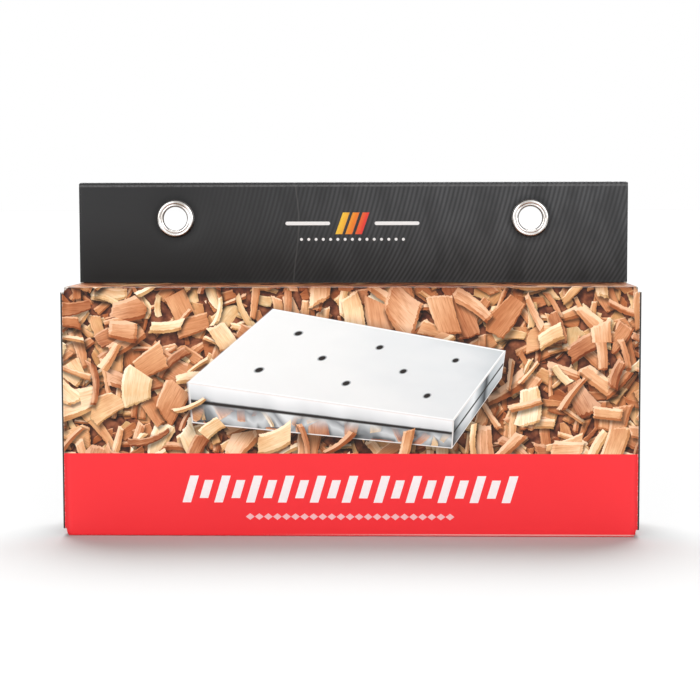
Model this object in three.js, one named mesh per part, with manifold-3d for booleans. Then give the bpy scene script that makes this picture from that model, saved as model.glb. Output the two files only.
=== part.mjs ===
// A stainless steel smoker box for a grill, packed in its printed hang carton.
// Millimetres, +Z up, front towards -Y. The origin is the middle of the footprint.
// The carton stands on its bottom panel. The smoker box stands in it on a long side, lid to the front.

import * as THREE from 'three';
import { mergeVertices } from 'three/addons/utils/BufferGeometryUtils.js';
import Module from 'manifold-3d';

const wasm = await Module();
wasm.setup();

// Carton board and its clearances
const board = 0.8;
const creaseGap = 0.6;
const slideGap = 0.3;

// Carton, over its outer faces
const cartonWidth = 235;
const cartonHeight = 101.8;
const cartonDepth = 44.5;
const cornerCutAcross = 1.8;
const cornerCutUp = 2;

// Glue flap inside the back panel
const glueFlapHeight = 12;
const glueFlapInset = 16.7;
const glueFlapTaper = 6;

// End closures and the lips that tuck in behind the back panel
const closureFoot = 3;
const closureHead = 2.2;
const closureTaper = 1.5;
const lipLength = 9;
const lipInset = 4;
const lipCornerRadius = 3;
const lipLean = 14;

// Dust flaps under the end closures
const dustFlapLength = 22;
const dustFrontSetback = 2;
const dustBackSetback = 2.2;
const dustBackTaper = 2;
const dustTaperShare = 0.85;
const dustCornerRadius = 2.5;

// Header card, which is the back panel's board folded over at the top
const headerHeight = 42.7;
const headerLift = 0.35;
const headerCornerRadius = 1;

// Eyelets through the header card
const eyeletInset = 41.2;
const eyeletDrop = 15.4;
const eyeletBore = 10.3;
const eyeletWall = 0.5;
const eyeletFlangeDiameter = 15.8;
const eyeletFlangeHeight = 1.3;
const eyeletFit = 0.3;
const clinchHeight = 0.4;
const clinchWidth = 1.2;
const washerDiameter = 15;
const washerThickness = 0.5;
const ringSides = 40;

// Smoker box sheet metal
const sheet = 0.6;
const restGap = 0.3;
const endPlay = 2.6;
const headSpace = 5.6;
const backSpace = 3.8;
const frontSpace = 2.2;
const lidFit = 1.4;
const lidFlange = 7;
const lidNotch = 1.6;
const hemProud = 0.8;
const hemHeight = 5;
const trayCornerRadius = 2;
const ventDiameter = 5.1;
const ventSides = 20;
const cutOverrun = 2;

// Where the vents stand along and across the sheet, from its middle
const ventLengthShares = [-0.328, -0.164, 0, 0.164, 0.328];
const ventPairShare = 0.25;

// Places that follow from the sizes above
const outerX = cartonWidth / 2;
const panelX = outerX - board;
const dustOuterX = panelX - slideGap;
const dustInnerX = dustOuterX - board;
const frontY = -cartonDepth / 2;
const frontInnerY = frontY + board;
const backY = cartonDepth / 2;
const backInnerY = backY - board;
const topInnerZ = cartonHeight - board;
const lipCreaseY = backInnerY - slideGap - board;
const headerFootZ = cartonHeight + headerLift;
const headerTopZ = cartonHeight + headerHeight;
const eyeletX = panelX - eyeletInset;
const eyeletZ = headerTopZ - eyeletDrop;
const boreRadius = eyeletBore / 2;
const barrelRadius = boreRadius + eyeletWall;
const flangeRadius = eyeletFlangeDiameter / 2;
const cardHoleRadius = barrelRadius + eyeletFit;
const rearProud = washerThickness + clinchHeight;
const lidLength = 2 * (dustInnerX - endPlay);
const lidWidth = topInnerZ - board - restGap - headSpace;
const trayLength = lidLength - 2 * (sheet + lidFit);
const trayWidth = lidWidth - 2 * (sheet + lidFit);
const trayHeight = backInnerY - frontInnerY - backSpace - frontSpace - sheet - restGap;

// Materials

function paper(color, roughness) {
  return new THREE.MeshStandardMaterial({ color, roughness, metalness: 0 });
}

function metal(color, roughness) {
  return new THREE.MeshStandardMaterial({ color, roughness, metalness: 1 });
}

const printedBoard = () => paper(0xc0884f, 0.45);
const charcoalBoard = () => paper(0x3c3b39, 0.5);
const redBoard = () => paper(0xf2363b, 0.45);
const whiteBoard = () => paper(0xd9d5cc, 0.8);
const nickel = () => metal(0xc9c6c2, 0.22);
const stainless = () => metal(0xc8cacc, 0.3);

// Solids

function toSolid(geometry) {
  const bare = geometry.clone();
  bare.deleteAttribute('normal');
  bare.deleteAttribute('uv');
  const merged = mergeVertices(bare);
  return new wasm.Manifold(new wasm.Mesh({
    numProp: 3,
    vertProperties: new Float32Array(merged.attributes.position.array),
    triVerts: new Uint32Array(merged.index.array),
  }));
}

function toGeometry(solid) {
  const mesh = solid.getMesh();
  const geometry = new THREE.BufferGeometry();
  geometry.setAttribute('position', new THREE.BufferAttribute(mesh.vertProperties, mesh.numProp));
  geometry.setIndex(new THREE.BufferAttribute(mesh.triVerts, 1));
  geometry.computeVertexNormals();
  return geometry;
}

function named(name, geometry, material) {
  const mesh = new THREE.Mesh(geometry, material);
  mesh.name = name;
  return mesh;
}

// A polygon with rounded corners. Each point is [u, v, radius], and without a radius it is sharp.
function outline(points) {
  const shape = new THREE.Shape();
  const count = points.length;
  points.forEach(([u, v, radius = 0], i) => {
    const corner = new THREE.Vector2(u, v);
    const before = new THREE.Vector2(...points[(i + count - 1) % count]);
    const after = new THREE.Vector2(...points[(i + 1) % count]);
    const into = before.sub(corner).setLength(radius).add(corner);
    const out = after.sub(corner).setLength(radius).add(corner);
    if (i === 0) shape.moveTo(into.x, into.y);
    else shape.lineTo(into.x, into.y);
    if (radius > 0) shape.quadraticCurveTo(u, v, out.x, out.y);
  });
  shape.closePath();
  return shape;
}

function extrude(shape, thickness) {
  return new THREE.ExtrudeGeometry(shape, { depth: thickness, bevelEnabled: false, curveSegments: 5 });
}

// A plate whose outline is drawn in x and z, from y = fromY towards the back.
function uprightPlate(shape, fromY, thickness) {
  return extrude(shape, thickness).rotateX(Math.PI / 2).translate(0, fromY + thickness, 0);
}

// A plate whose outline is drawn in y and z, standing on one end of the carton: side is +1 or -1.
function endPlate(shape, side, fromX, thickness) {
  const turn = new THREE.Matrix4().makeBasis(
    new THREE.Vector3(0, 1, 0),
    new THREE.Vector3(0, 0, 1),
    new THREE.Vector3(1, 0, 0),
  );
  const lowX = side > 0 ? fromX : -fromX - thickness;
  return extrude(shape, thickness).applyMatrix4(turn).translate(lowX, 0, 0);
}

// A box between two corners.
function block(x0, x1, y0, y1, z0, z1) {
  const geometry = new THREE.BoxGeometry(x1 - x0, y1 - y0, z1 - z0);
  return geometry.translate((x0 + x1) / 2, (y0 + y1) / 2, (z0 + z1) / 2);
}

// Carton panels

function frontPanel() {
  const shape = outline([
    [-panelX, cornerCutUp],
    [-panelX + cornerCutAcross, 0],
    [panelX - cornerCutAcross, 0],
    [panelX, cornerCutUp],
    [panelX, cartonHeight - cornerCutUp],
    [panelX - cornerCutAcross, cartonHeight],
    [-panelX + cornerCutAcross, cartonHeight],
    [-panelX, cartonHeight - cornerCutUp],
  ]);
  return named('front_panel', uprightPlate(shape, frontY, board), printedBoard());
}

function topPanel() {
  const geometry = block(-dustInnerX, dustInnerX, frontInnerY, backInnerY, topInnerZ, cartonHeight);
  return named('top_panel', geometry, printedBoard());
}

function bottomPanel() {
  const geometry = block(-dustInnerX, dustInnerX, frontInnerY, backInnerY, 0, board);
  return named('bottom_panel', geometry, redBoard());
}

function backPanel() {
  const geometry = block(-panelX, panelX, backInnerY, backY, 0, cartonHeight);
  return named('back_panel', geometry, charcoalBoard());
}

function glueFlap() {
  const half = panelX - glueFlapInset;
  const shape = outline([
    [-half, board],
    [half, board],
    [half - glueFlapTaper, board + glueFlapHeight],
    [-half + glueFlapTaper, board + glueFlapHeight],
  ]);
  return named('glue_flap', uprightPlate(shape, backInnerY - board, board), whiteBoard());
}

// End closures, tuck lips and dust flaps

function endClosure(name, side) {
  const foot = closureFoot;
  const head = cartonHeight - closureHead;
  const shape = outline([
    [frontInnerY + creaseGap, foot],
    [lipCreaseY, foot + closureTaper],
    [lipCreaseY, head - closureTaper],
    [frontInnerY + creaseGap, head],
  ]);
  return named(name, endPlate(shape, side, panelX, board), charcoalBoard());
}

function tuckLip(name, side) {
  const foot = closureFoot + lipInset;
  const head = cartonHeight - closureHead - lipInset;
  const root = -side * creaseGap;
  const tip = root - side * lipLength;
  const shape = outline([
    [root, foot],
    [tip, foot, lipCornerRadius],
    [tip, head, lipCornerRadius],
    [root, head],
  ]);
  const lip = named(name, uprightPlate(shape, 0, board), charcoalBoard());
  lip.position.set(side * panelX, lipCreaseY, 0);
  lip.rotation.z = THREE.MathUtils.degToRad(side * lipLean);
  return lip;
}

// rootZ is the crease's height, and up is +1 for a flap that stands on the bottom panel.
function dustFlap(name, side, rootZ, up) {
  const front = frontInnerY + dustFrontSetback;
  const back = backInnerY - dustBackSetback;
  const root = rootZ + up * creaseGap;
  const tip = root + up * dustFlapLength;
  const shape = outline([
    [front, root],
    [back, root],
    [back - dustBackTaper, tip, dustCornerRadius],
    [front + dustFlapLength * dustTaperShare, tip, dustCornerRadius],
  ]);
  return named(name, endPlate(shape, side, dustInnerX, board), whiteBoard());
}

function endFlaps(label, side) {
  return [
    endClosure(`${label}_end_closure`, side),
    tuckLip(`${label}_tuck_lip`, side),
    dustFlap(`${label}_top_dust_flap`, side, topInnerZ, -1),
    dustFlap(`${label}_bottom_dust_flap`, side, board, 1),
  ];
}

// Header card and eyelets

function cardHole(x) {
  const hole = new THREE.Path();
  const step = 2 * Math.PI / ringSides;
  for (let i = 0; i < ringSides; i += 1) {
    const u = x + cardHoleRadius * Math.cos(i * step);
    const v = eyeletZ + cardHoleRadius * Math.sin(i * step);
    if (i === 0) hole.moveTo(u, v);
    else hole.lineTo(u, v);
  }
  hole.closePath();
  return hole;
}

function headerPly(name, fromY) {
  const shape = outline([
    [-panelX, headerFootZ],
    [panelX, headerFootZ],
    [panelX, headerTopZ, headerCornerRadius],
    [-panelX, headerTopZ, headerCornerRadius],
  ]);
  shape.holes = [cardHole(-eyeletX), cardHole(eyeletX)];
  return named(name, uprightPlate(shape, fromY, board), charcoalBoard());
}

// A ring turned about the y axis. Each point is [radius, y].
function ring(points) {
  const closed = [...points, points[0]].map(([radius, y]) => new THREE.Vector2(radius, y));
  return new THREE.LatheGeometry(closed, ringSides);
}

// Rolled flange: shares of the flange's width from the bore outwards, and of its height.
const flangeShares = [
  [0, 0.45],
  [0.05, 0.78],
  [0.16, 0.97],
  [0.32, 1],
  [0.46, 0.86],
  [0.52, 0.7],
  [0.62, 0.74],
  [0.82, 0.68],
  [0.95, 0.45],
  [1, 0.18],
];

function eyelet(name, x) {
  const cardFrontY = backInnerY - board;
  const washerBackY = backY + washerThickness;
  const clinchRadius = barrelRadius + clinchWidth;
  const flangeWidth = flangeRadius - boreRadius;
  const face = flangeShares.map(([across, high]) => [
    boreRadius + across * flangeWidth,
    cardFrontY - high * eyeletFlangeHeight,
  ]);
  const geometry = ring([
    [boreRadius, washerBackY + clinchHeight / 2],
    ...face,
    [flangeRadius, cardFrontY],
    [barrelRadius, cardFrontY],
    [barrelRadius, washerBackY],
    [clinchRadius, washerBackY],
    [clinchRadius, washerBackY + clinchHeight / 2],
    [clinchRadius - clinchHeight / 2, washerBackY + clinchHeight],
    [barrelRadius, washerBackY + clinchHeight],
  ]);
  const mesh = named(name, geometry, nickel());
  mesh.position.set(x, 0, eyeletZ);
  return mesh;
}

function eyeletWasher(name, x) {
  const geometry = ring([
    [cardHoleRadius, backY],
    [washerDiameter / 2, backY],
    [washerDiameter / 2, backY + washerThickness / 2],
    [washerDiameter / 2 - washerThickness / 2, backY + washerThickness],
    [cardHoleRadius, backY + washerThickness],
  ]);
  const mesh = named(name, geometry, nickel());
  mesh.position.set(x, 0, eyeletZ);
  return mesh;
}

function headerCard() {
  return [
    headerPly('header_front_ply', backInnerY - board),
    headerPly('header_back_ply', backInnerY),
    eyelet('left_eyelet', -eyeletX),
    eyelet('right_eyelet', eyeletX),
    eyeletWasher('left_eyelet_washer', -eyeletX),
    eyeletWasher('right_eyelet_washer', eyeletX),
  ];
}

// Smoker box, drawn flat: length along x, width along y, lid upwards

function roundedBlock(length, width, z0, z1, radius) {
  const shape = outline([
    [-length / 2, -width / 2, radius],
    [length / 2, -width / 2, radius],
    [length / 2, width / 2, radius],
    [-length / 2, width / 2, radius],
  ]);
  return toSolid(extrude(shape, z1 - z0).translate(0, 0, z0));
}

// Eight vents in a quincunx: pairs at the quarter lines, single ones on the middle line between.
function vents(length, width, middleZ) {
  const places = ventLengthShares.flatMap((share, i) => (
    i % 2 === 0
      ? [[share * length, ventPairShare * width], [share * length, -ventPairShare * width]]
      : [[share * length, 0]]
  ));
  const drill = new THREE.CylinderGeometry(ventDiameter / 2, ventDiameter / 2, 2 * cutOverrun, ventSides);
  drill.rotateX(Math.PI / 2);
  return places.map(([x, y]) => toSolid(drill.clone().translate(x, y, middleZ)));
}

function cut(solid, tools) {
  return tools.reduce((left, tool) => left.subtract(tool), solid);
}

function smokerTray() {
  const length = trayLength - 2 * hemProud;
  const width = trayWidth - 2 * hemProud;
  const innerRadius = trayCornerRadius - sheet;
  const walls = roundedBlock(length, width, 0, trayHeight, trayCornerRadius);
  const hem = roundedBlock(trayLength, trayWidth, trayHeight - hemHeight, trayHeight, trayCornerRadius + hemProud);
  const hollow = roundedBlock(
    length - 2 * sheet,
    width - 2 * sheet,
    sheet,
    trayHeight + cutOverrun,
    innerRadius,
  );
  const tray = cut(walls.add(hem), [hollow, ...vents(length, width, sheet / 2)]);
  return named('smoker_tray', toGeometry(tray), stainless());
}

function smokerLid() {
  const halfLength = lidLength / 2;
  const halfWidth = lidWidth / 2;
  const under = trayHeight + restGap;
  const top = under + sheet;
  const foot = top - lidFlange;
  const cap = toSolid(block(-halfLength, halfLength, -halfWidth, halfWidth, foot, top));
  const hollow = toSolid(block(
    -halfLength + sheet,
    halfLength - sheet,
    -halfWidth + sheet,
    halfWidth - sheet,
    foot - cutOverrun,
    under,
  ));
  const notches = [[-1, -1], [-1, 1], [1, -1], [1, 1]].map(([endX, endY]) => toSolid(
    new THREE.BoxGeometry(2 * lidNotch, 2 * lidNotch, lidFlange + cutOverrun)
      .translate(endX * halfLength, endY * halfWidth, under - (lidFlange + cutOverrun) / 2),
  ));
  const lid = cut(cap, [hollow, ...notches, ...vents(lidLength, lidWidth, under + sheet / 2)]);
  return named('smoker_lid', toGeometry(lid), stainless());
}

// The box stands on a long side: its height runs to the front and its width upwards.
function standing(mesh, width, footZ) {
  const turned = new THREE.Group();
  turned.rotation.x = Math.PI / 2;
  turned.position.set(0, backInnerY - backSpace, footZ + width / 2);
  turned.add(mesh);
  return turned;
}

function smokerBox() {
  const lidFootZ = board + restGap;
  const trayFootZ = lidFootZ + sheet + restGap;
  return [
    standing(smokerTray(), trayWidth, trayFootZ),
    standing(smokerLid(), lidWidth, lidFootZ),
  ];
}

// Assembly, moved forward by half of what the eyelets' clinch stands behind the back panel
const part = new THREE.Group();
part.position.y = -rearProud / 2;
part.add(
  frontPanel(),
  topPanel(),
  bottomPanel(),
  backPanel(),
  glueFlap(),
  ...headerCard(),
  ...endFlaps('left', -1),
  ...endFlaps('right', 1),
  ...smokerBox(),
);

export default part;
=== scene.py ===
import math
from functools import partialmethod

import bpy
import numpy as np
from mathutils import Matrix, Vector, noise


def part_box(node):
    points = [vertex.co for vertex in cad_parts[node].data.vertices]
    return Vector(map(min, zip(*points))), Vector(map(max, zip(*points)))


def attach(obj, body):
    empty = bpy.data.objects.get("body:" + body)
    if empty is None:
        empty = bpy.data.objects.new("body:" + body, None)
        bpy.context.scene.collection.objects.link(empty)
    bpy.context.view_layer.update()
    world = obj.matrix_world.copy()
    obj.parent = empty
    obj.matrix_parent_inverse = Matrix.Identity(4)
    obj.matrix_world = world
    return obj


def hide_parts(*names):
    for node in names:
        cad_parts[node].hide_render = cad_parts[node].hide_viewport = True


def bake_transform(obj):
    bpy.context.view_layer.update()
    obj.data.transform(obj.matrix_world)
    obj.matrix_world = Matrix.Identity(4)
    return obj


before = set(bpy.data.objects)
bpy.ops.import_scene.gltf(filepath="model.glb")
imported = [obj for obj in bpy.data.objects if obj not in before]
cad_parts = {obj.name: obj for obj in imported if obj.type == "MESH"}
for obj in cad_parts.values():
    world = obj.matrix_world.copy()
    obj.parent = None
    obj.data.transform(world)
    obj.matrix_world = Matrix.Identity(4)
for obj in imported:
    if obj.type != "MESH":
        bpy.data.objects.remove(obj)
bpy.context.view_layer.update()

# A grill smoker box in its printed hang carton: board, print, bright metal, light and camera.
# Places come from the frame, in metres. Patterns are drawn in millimetres on the unrolled board.

MM = 0.001

# Where the frame puts the carton

front_lo, front_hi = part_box("front_panel")
back_lo, back_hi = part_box("back_panel")
front_ply_lo, front_ply_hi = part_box("header_front_ply")
closure_lo, closure_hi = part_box("right_end_closure")
lip_lo, lip_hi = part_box("right_tuck_lip")
eyelet_lo, eyelet_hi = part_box("right_eyelet")
washer_lo, washer_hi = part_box("right_eyelet_washer")

FRONT_Y = front_lo.y
BACK_Y = back_hi.y
SEAM_Y = back_lo.y
PLY_Y = front_ply_lo.y
TOP_Z = front_hi.z
HEADER_Z = front_ply_hi.z
HALF_X = front_hi.x
END_X = closure_hi.x
BOARD = front_hi.y - front_lo.y

# Folded board: its folds and thicknesses, how far the sheets stop from a corner, and corner cuts
FOLD = 0.9 * MM
SHEET = 0.97 * BOARD
PLY = 0.96 * SHEET
CREASE_INSET = 0.5 * MM
TOP_INSET = 1.4 * MM
BACK_INSET = 0.1 * MM
HEADER_FILLET = 0.6 * MM
HEADER_ROOT = 0.8 * MM
TOP_CUT = (1.8 * MM, 2.0 * MM)
FOOT_CUT = (1.3 * MM, 3.1 * MM)

# Fineness of the sheets
PANEL_STEP = 2.6 * MM
HEADER_STEP = 1.2 * MM
FLAP_STEP = 2.0 * MM
FOLD_STEPS = 6
SAME_POINT = 1e-6

# How far each panel sinks, over what distance from its edges, and the scale and seed of its unevenness
FRONT_SINK = 0.26 * MM
BACK_SINK = 0.40 * MM
TOP_SINK = 0.35 * MM
FOOT_SINK = 0.25 * MM
END_EASE = 30 * MM
FOLD_EASE = 25 * MM
DEPTH_EASE = 12 * MM
ON_FACE = 0.01 * MM
WRAP_SWELL = (22, 3.0)
HEADER_SWELL = (17, 8.0)
CLOSURE_SWELL = (25, 5.0)
SWELL_GAIN = 1.6

# Unrolled places of the print, in millimetres
BAND_TOP = 34.0
PRINT_HALF = HALF_X / MM
PRINT_TOP = TOP_Z / MM
PRINT_DEPTH = (BACK_Y - FRONT_Y) / MM


# Sheets of board

def bent_path(corners, step):
    """Points of a path in a plane through (a, b, radius) corners, with the length run at each."""
    flat = [Vector(corner[:2]) for corner in corners]
    points = [flat[0]]
    for before, corner, after, (_, _, radius) in zip(flat, flat[1:], flat[2:], corners[1:]):
        into = (corner - before).normalized()
        out = (after - corner).normalized()
        turn = into.angle_signed(out) * -1
        reach = radius * math.tan(abs(turn) / 2)
        side = Vector((-into.y, into.x)) * math.copysign(1, turn)
        middle = corner - into * reach + side * radius
        spoke = -side * radius
        for i in range(FOLD_STEPS + 1):
            points.append(middle + Matrix.Rotation(turn * i / FOLD_STEPS, 2) @ spoke)
    points.append(flat[-1])
    fine = [points[0]]
    for point in points[1:]:
        last = fine[-1]
        if (point - last).length < SAME_POINT:
            continue
        count = math.ceil((point - last).length / step)
        fine.extend(last.lerp(point, (i + 1) / count) for i in range(count))
    run = np.concatenate([[0], np.cumsum([(b - a).length for a, b in zip(fine, fine[1:])])])
    return np.array([tuple(p) for p in fine]), run


def placed(name, data):
    """A new object in the scene."""
    obj = bpy.data.objects.new(name, data)
    bpy.context.scene.collection.objects.link(obj)
    return obj


def smooth_mesh(name, points, faces):
    mesh = bpy.data.meshes.new(name)
    mesh.from_pydata(points, [], faces)
    mesh.polygons.foreach_set("use_smooth", [True] * len(faces))
    return mesh


def spread(rows, share):
    """Points at such shares of each row, which is given by its two ends."""
    ends = np.array(rows, float)
    return (ends[:, None, 0] * (1 - share) + ends[:, None, 1] * share).reshape(-1, 3)


def sheet(name, rows, prints, columns, bend=None, punch=None):
    """A grid of quads. A row is its two end points, and prints holds the same ends on the print.

    The drawn face looks along row direction x column direction."""
    share = np.linspace(0, 1, columns + 1)[None, :, None]
    points, places = spread(rows, share), spread(prints, share)
    if bend:
        points = points + bend(points)
    width = columns + 1
    first = (np.arange(len(rows) - 1)[:, None] * width + np.arange(columns)).reshape(-1)
    faces = np.stack([first, first + width, first + width + 1, first + 1], 1)
    if punch:
        points, faces = punch(points, faces)
    used, faces = np.unique(faces, return_inverse=True)
    mesh = smooth_mesh(name, points[used].tolist(), faces.reshape(-1, 4).tolist())
    mesh.attributes.new("print_at", "FLOAT_VECTOR", "POINT").data.foreach_set(
        "vector", (places[used] / MM).astype(np.float32).ravel())
    return placed(name, mesh)


def give_thickness(obj, boards, thickness=SHEET):
    """Thickness behind the drawn face. boards are the materials outside, inside and on the cut edge."""
    for material in boards:
        obj.data.materials.append(material)
    solid = obj.modifiers.new("board", "SOLIDIFY")
    solid.thickness = thickness
    solid.offset = -1
    solid.use_even_offset = True
    solid.material_offset = 1
    solid.material_offset_rim = 2


def swell(points, scale, seed):
    """Soft unevenness of a sheet, 0 to 1."""
    rough = [noise.noise(Vector((x * scale, y * scale + seed, z * scale))) for x, y, z in points]
    return 0.5 + 0.5 * np.clip(np.array(rough) * SWELL_GAIN, -1, 1)


def ease(distance, reach):
    """Runs softly from 0 to 1 over a distance."""
    share = np.clip(distance / reach, 0, 1)
    return share * share * (3 - 2 * share)


def rounded_end(left, corner):
    """How far an edge draws in, with so much length left before the tip."""
    near = max(0.0, corner - left) / corner
    return corner * (1 - math.sqrt(max(0.0, 1 - near * near)))


# Carton wrap: top, front, bottom and back in one sheet

def wrap_half_width(y, z):
    """Half the sheet's width at a place of its section."""
    if y < FRONT_Y + SAME_POINT:
        above = ease(z - (TOP_Z - TOP_CUT[1]), TOP_CUT[1])
        below = ease(FOOT_CUT[1] - z, FOOT_CUT[1])
        return HALF_X - max(CREASE_INSET, above * TOP_CUT[0], below * FOOT_CUT[0])
    if y > BACK_Y - FOLD:
        return HALF_X - BACK_INSET
    if z > TOP_Z / 2:
        return HALF_X - max(TOP_INSET, TOP_CUT[0] * (1 - (y - FRONT_Y) / FOLD))
    return HALF_X - TOP_INSET


def wrap_bend(points):
    """The panels sink a little between their folds."""
    x, y, z = points.T
    shift = np.zeros_like(points)
    uneven = swell(points, *WRAP_SWELL)
    side = ease(HALF_X - np.abs(x), END_EASE)
    standing = ease(z, FOLD_EASE) * ease(TOP_Z - z, FOLD_EASE)
    level = ease(y - FRONT_Y, DEPTH_EASE) * ease(BACK_Y - y, DEPTH_EASE)
    front = y < FRONT_Y + ON_FACE
    back = y > BACK_Y - ON_FACE
    flat = ~front & ~back
    shift[:, 1] += np.where(front, FRONT_SINK * uneven * standing * side, 0)
    shift[:, 1] -= np.where(back, BACK_SINK * uneven * standing * side, 0)
    shift[:, 2] -= np.where(flat & (z > TOP_Z / 2), TOP_SINK * uneven * level * side, 0)
    shift[:, 2] += np.where(flat & (z < TOP_Z / 2), FOOT_SINK * uneven * level * side, 0)
    return shift


def carton_wrap(boards):
    section, run = bent_path([
        (PLY_Y - HEADER_FILLET, TOP_Z, 0),
        (FRONT_Y, TOP_Z, FOLD),
        (FRONT_Y, 0, FOLD),
        (BACK_Y, 0, FOLD),
        (BACK_Y, TOP_Z - HEADER_ROOT, 0),
    ], PANEL_STEP)
    on_front = int(np.argmax(section[:, 0] < FRONT_Y + SAME_POINT))
    start = run[on_front] + section[on_front, 1]
    rows, prints = [], []
    for (y, z), length in zip(section, run):
        half = wrap_half_width(y, z)
        rows.append([(-half, y, z), (half, y, z)])
        prints.append([(-half, start - length, 0), (half, start - length, 0)])
    columns = math.ceil(2 * HALF_X / PANEL_STEP)
    obj = sheet("carton_wrap", rows, prints, columns, wrap_bend)
    give_thickness(obj, boards)
    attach(obj, "carton")
    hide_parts("front_panel", "top_panel", "bottom_panel", "back_panel")


# Header card, folded over at its top

HEADER_CORNER = 1.0 * MM
ROOT_BAND = 0.3 * MM
SEAM_BAND = 0.2 * MM
BEHIND = 1.0 * MM

# Eyelets
EYELET_X = (eyelet_lo.x + eyelet_hi.x) / 2
EYELET_Z = (eyelet_lo.z + eyelet_hi.z) / 2
FLANGE_R = (eyelet_hi.x - eyelet_lo.x) / 2
EYELET_BORE = 5.15 * MM
BARREL_R = 5.65 * MM
CARD_HOLE_R = BARREL_R + 0.3 * MM

# Waves of the card, and the dimples that the eyelets press into it
CARD_STILL = 2 * MM
CARD_EASE = 14 * MM
EYELET_EASE = 16 * MM
CARD_WAVE = 0.5 * MM
DIMPLE_DEPTH = 0.45 * MM
DIMPLE_BACK_SHARE = 0.6
DIMPLE_REACH = 4.5 * MM
DIMPLE_TOP_GAP = 1.2 * MM
DIMPLE_TOP_EASE = 4 * MM

# A soft upright crease in the card, which sways a little
SPINE_X = -24.0 * MM
SPINE_DEPTH = 0.14 * MM
SPINE_WIDTH = 2.2 * MM
SPINE_SWAY = 1.2 * MM
SPINE_TURN = 9 * MM


def header_half_width(y, z):
    """Half the card's width at a place of its section."""
    if z < TOP_Z + ROOT_BAND:
        return HALF_X - (TOP_INSET if y < SEAM_Y else BACK_INSET)
    return HALF_X - rounded_end(HEADER_Z - z, HEADER_CORNER)


def eyelet_distance(x, z):
    return np.hypot(np.abs(x) - EYELET_X, z - EYELET_Z)


def header_bend(points):
    """Both plies wave a little together and dip round the eyelets."""
    x, y, z = points.T
    shift = np.zeros_like(points)
    free = ease(z - TOP_Z - CARD_STILL, CARD_EASE)
    beside = eyelet_distance(x, z) - FLANGE_R
    uneven = swell(np.stack([x, 0 * y, z], 1), *HEADER_SWELL) - 0.5
    spine = np.exp(-((x - SPINE_X - SPINE_SWAY * np.sin(z / SPINE_TURN)) / SPINE_WIDTH) ** 2)
    shift[:, 1] += free * ease(beside, EYELET_EASE) * (CARD_WAVE * uneven - SPINE_DEPTH * spine)
    front = (y < SEAM_Y - SEAM_BAND) & (z > TOP_Z + CARD_STILL)
    back = (y > SEAM_Y + SEAM_BAND) & (z > TOP_Z + CARD_STILL)
    dip = DIMPLE_DEPTH * np.exp(-(np.maximum(0, beside) / DIMPLE_REACH) ** 2)
    dip *= ease(HEADER_Z - DIMPLE_TOP_GAP - z, DIMPLE_TOP_EASE)
    shift[:, 1] += np.where(front, dip, 0) - np.where(back, DIMPLE_BACK_SHARE * dip, 0)
    return shift


def eyelet_holes(points, faces):
    """Opens the card where the eyelets pass, and draws the cut edge onto a circle."""
    away = eyelet_distance(points[:, 0], points[:, 2])
    inside = away < CARD_HOLE_R
    cut = inside[faces].any(axis=1)
    edge = np.setdiff1d(np.intersect1d(faces[cut], faces[~cut]), np.flatnonzero(inside))
    for i in edge:
        centre = np.array([math.copysign(EYELET_X, points[i, 0]), EYELET_Z])
        arm = points[i, [0, 2]] - centre
        points[i, [0, 2]] = centre + arm * (CARD_HOLE_R / np.linalg.norm(arm))
    return points, faces[~cut]


def header_card(boards):
    section, _ = bent_path([
        (PLY_Y - HEADER_FILLET, TOP_Z, 0),
        (PLY_Y, TOP_Z, HEADER_FILLET),
        (PLY_Y, HEADER_Z, SHEET),
        (BACK_Y, HEADER_Z, SHEET),
        (BACK_Y, TOP_Z - HEADER_ROOT, 0),
    ], HEADER_STEP)
    rows, prints = [], []
    for y, z in section:
        half = header_half_width(y, z)
        back = BEHIND if y > SEAM_Y else 0
        rows.append([(half, y, z), (-half, y, z)])
        prints.append([(half, z, back), (-half, z, back)])
    columns = math.ceil(2 * HALF_X / HEADER_STEP)
    obj = sheet("header_card", rows, prints, columns, header_bend, eyelet_holes)
    give_thickness(obj, boards, PLY)
    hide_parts("header_front_ply", "header_back_ply")
    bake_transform(obj)


# End closures, tuck lips and dust flaps. side is -1 on the left and +1 on the right.

CLOSURE_FOOT = closure_lo.z
CLOSURE_HEAD = closure_hi.z
CLOSURE_TAPER = 1.5 * MM
CLOSURE_SINK = 0.25 * MM
CLOSURE_EASE = (10 * MM, 20 * MM)
LIP_Y = closure_hi.y
LIP_FOOT = lip_lo.z
LIP_HEAD = lip_hi.z
LIP_ROOT = 0.7 * MM
LIP_NOTCH = 1.6 * MM
LIP_LENGTH = 9.6 * MM
LIP_CORNER = 3.0 * MM
LIP_STEP = LIP_CORNER / 6
LIP_LEAN = math.radians(14)
LIP_PRINT_X = HALF_X + 40 * MM
FLAP_CORNER = 2.5 * MM
FLAP_TAPER_SHARE = 0.85
FLAP_BACK_TAPER = 2.0 * MM


def upright(side, low, high):
    """A row's ends, ordered so that the sheet's drawn face looks outwards."""
    return [low, high] if side > 0 else [high, low]


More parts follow.
